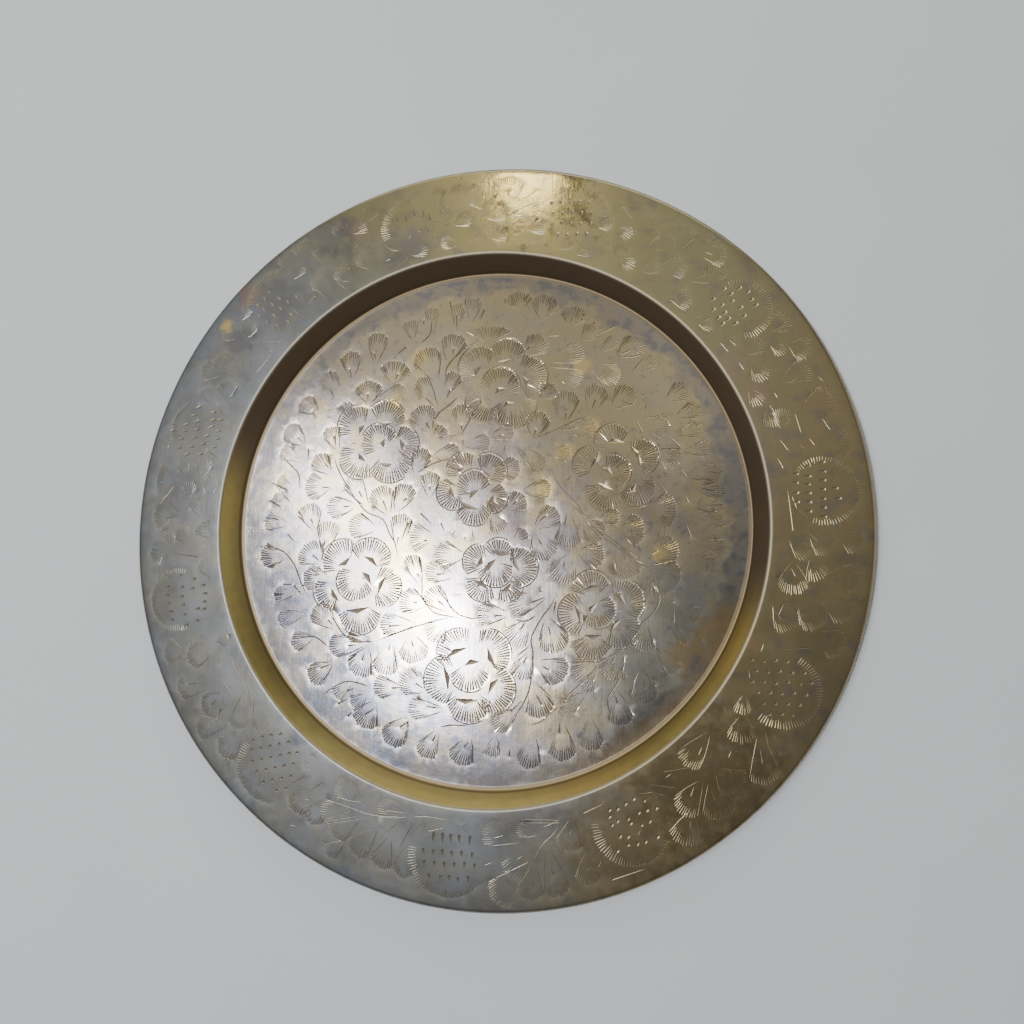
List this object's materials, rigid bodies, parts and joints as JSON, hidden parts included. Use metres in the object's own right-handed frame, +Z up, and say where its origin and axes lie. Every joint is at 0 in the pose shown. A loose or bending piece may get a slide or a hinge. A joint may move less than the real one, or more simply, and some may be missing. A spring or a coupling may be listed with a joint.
{
  "type": "engraved brass plate",
  "caption": "Round sheet brass plate with a sunk flat well, a broad flange, and an edge rolled over a wire.",
  "frame": {"origin": "middle of the flat foot's underside, where the plate rests when it lies flat", "axes": "+Z up along the turning axis, out of the well; +X and +Y in the plane of the foot, with +Y up the plate as it stands on display"},
  "size_m": [0.305, 0.305, 0.011],
  "materials": {
    "plate_brass": "satin, hand engraved, with a grey-brown patina",
    "wire_iron": "dull drawn iron wire"
  },
  "bodies": {
    "root": {"plate": "plate_brass", "rim_wire": "wire_iron"}
  },
  "joints": []
}
